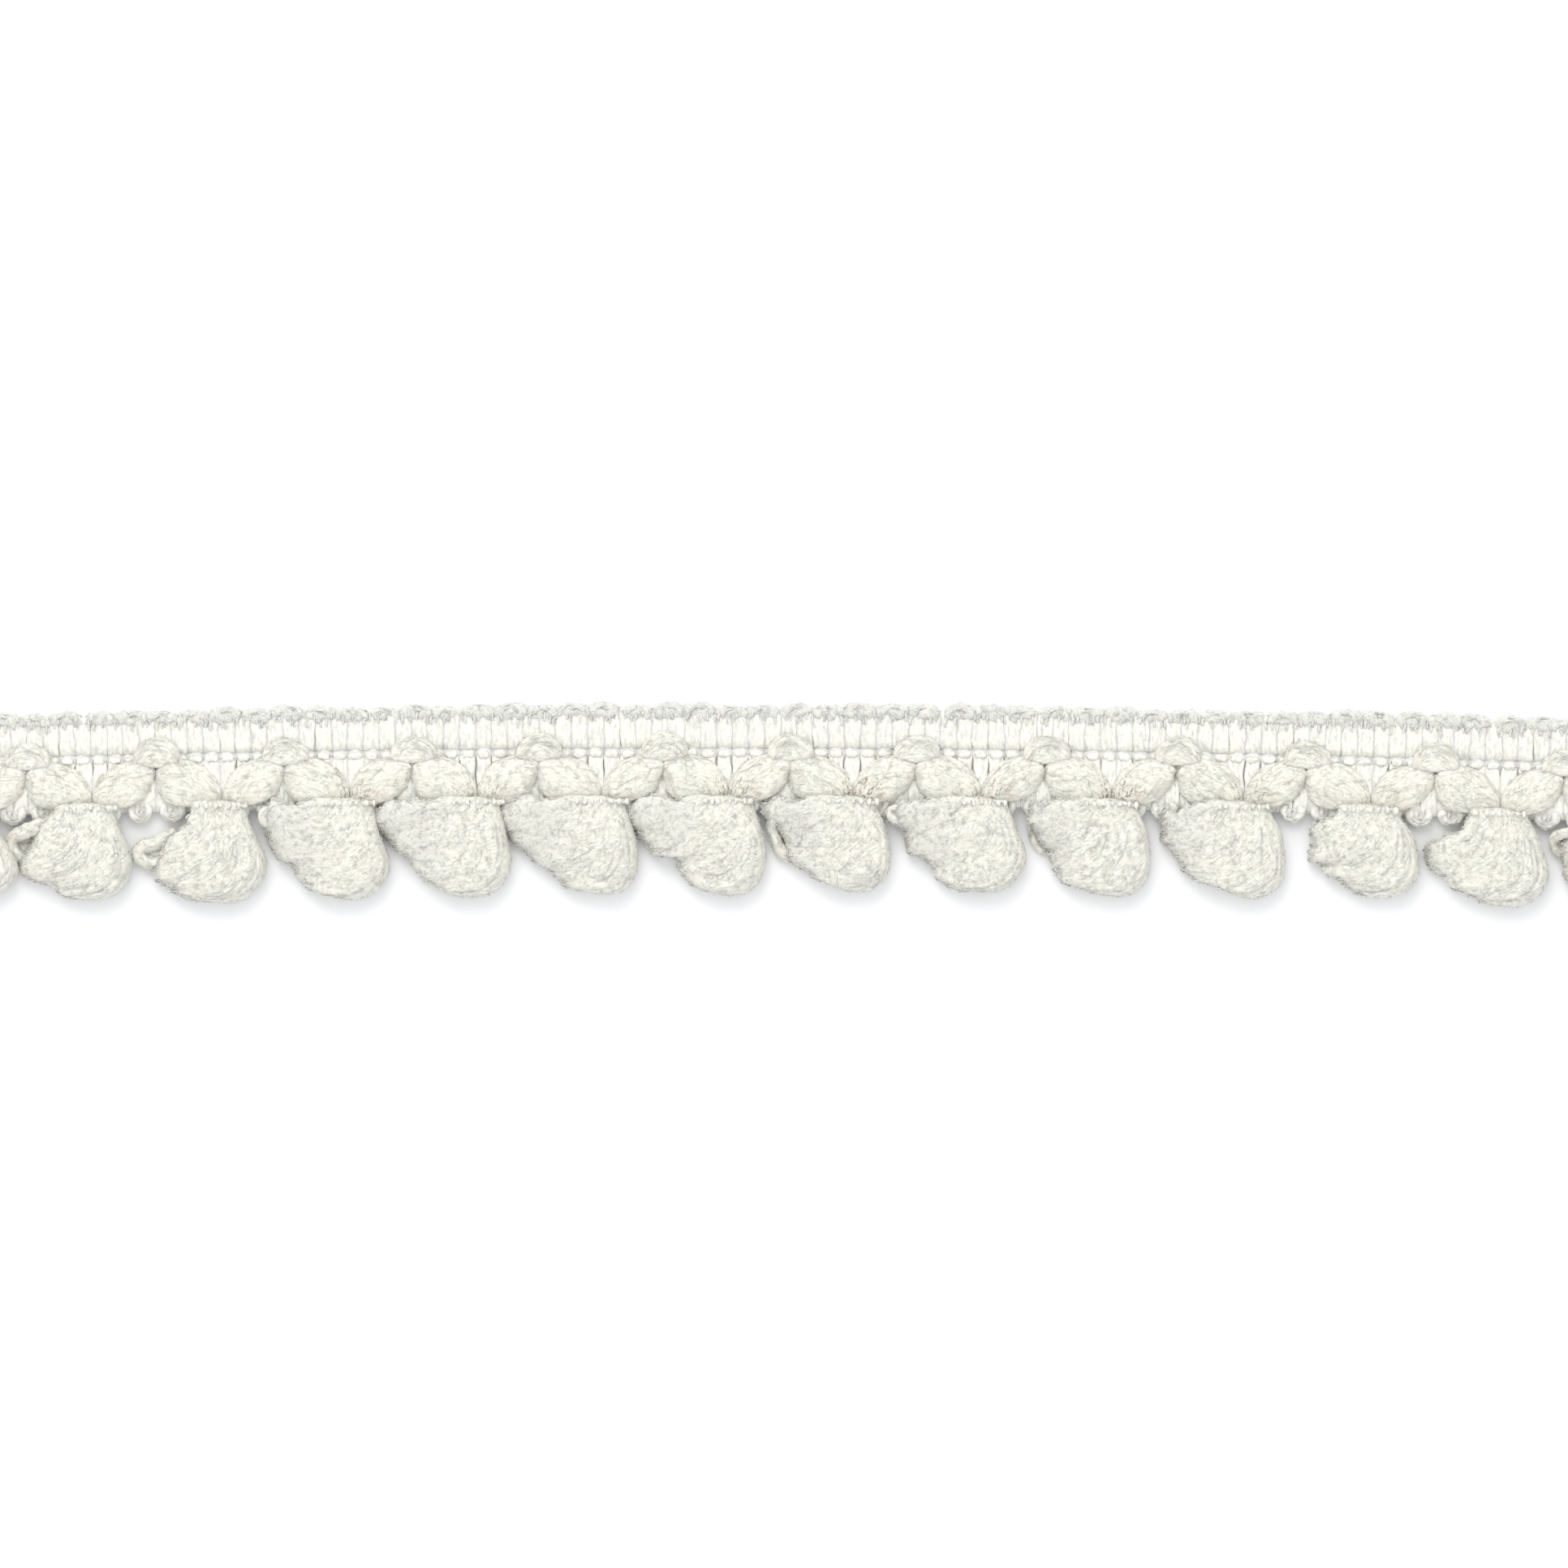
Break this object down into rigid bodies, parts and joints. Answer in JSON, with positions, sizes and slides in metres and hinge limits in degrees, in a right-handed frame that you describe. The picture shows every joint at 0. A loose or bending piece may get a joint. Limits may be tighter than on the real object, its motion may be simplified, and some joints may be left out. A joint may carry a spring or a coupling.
{
  "type": "tassel fringe trim",
  "caption": "Cream-white looped tassel fringe trim, a flat ribbed knitted heading with a zigzag of soft roving leaves and a fluffy looped tassel under each neck.",
  "frame": {"origin": "centre of the heading's flat back, on the surface that the trim lies on", "axes": "+X along the trim, +Y across the heading away from the tassels, +Z out of its face"},
  "size_m": [0.2298, 0.0265, 0.0049],
  "materials": {
    "heading_yarn": "cream-white knitted yarn with a slight sheen on the floats",
    "roving_yarn": "soft brushed cream roving, matt",
    "tassel_yarn": "soft brushed cream looped roving, matt with a faint lustre"
  },
  "bodies": {
    "root": {"heading": "heading_yarn", "roving_00": "roving_yarn", "roving_01": "roving_yarn", "roving_02": "roving_yarn", "roving_03": "roving_yarn", "roving_04": "roving_yarn", "roving_05": "roving_yarn", "roving_06": "roving_yarn", "roving_07": "roving_yarn", "roving_08": "roving_yarn", "roving_09": "roving_yarn", "roving_10": "roving_yarn", "roving_11": "roving_yarn", "roving_12": "roving_yarn", "roving_13": "roving_yarn", "roving_14": "roving_yarn", "tassel_00": "tassel_yarn", "tassel_01": "tassel_yarn", "tassel_02": "tassel_yarn", "tassel_03": "tassel_yarn", "tassel_04": "tassel_yarn", "tassel_05": "tassel_yarn", "tassel_06": "tassel_yarn", "tassel_07": "tassel_yarn", "tassel_08": "tassel_yarn", "tassel_09": "tassel_yarn", "tassel_10": "tassel_yarn", "tassel_11": "tassel_yarn", "tassel_12": "tassel_yarn", "tassel_13": "tassel_yarn"}
  },
  "joints": []
}
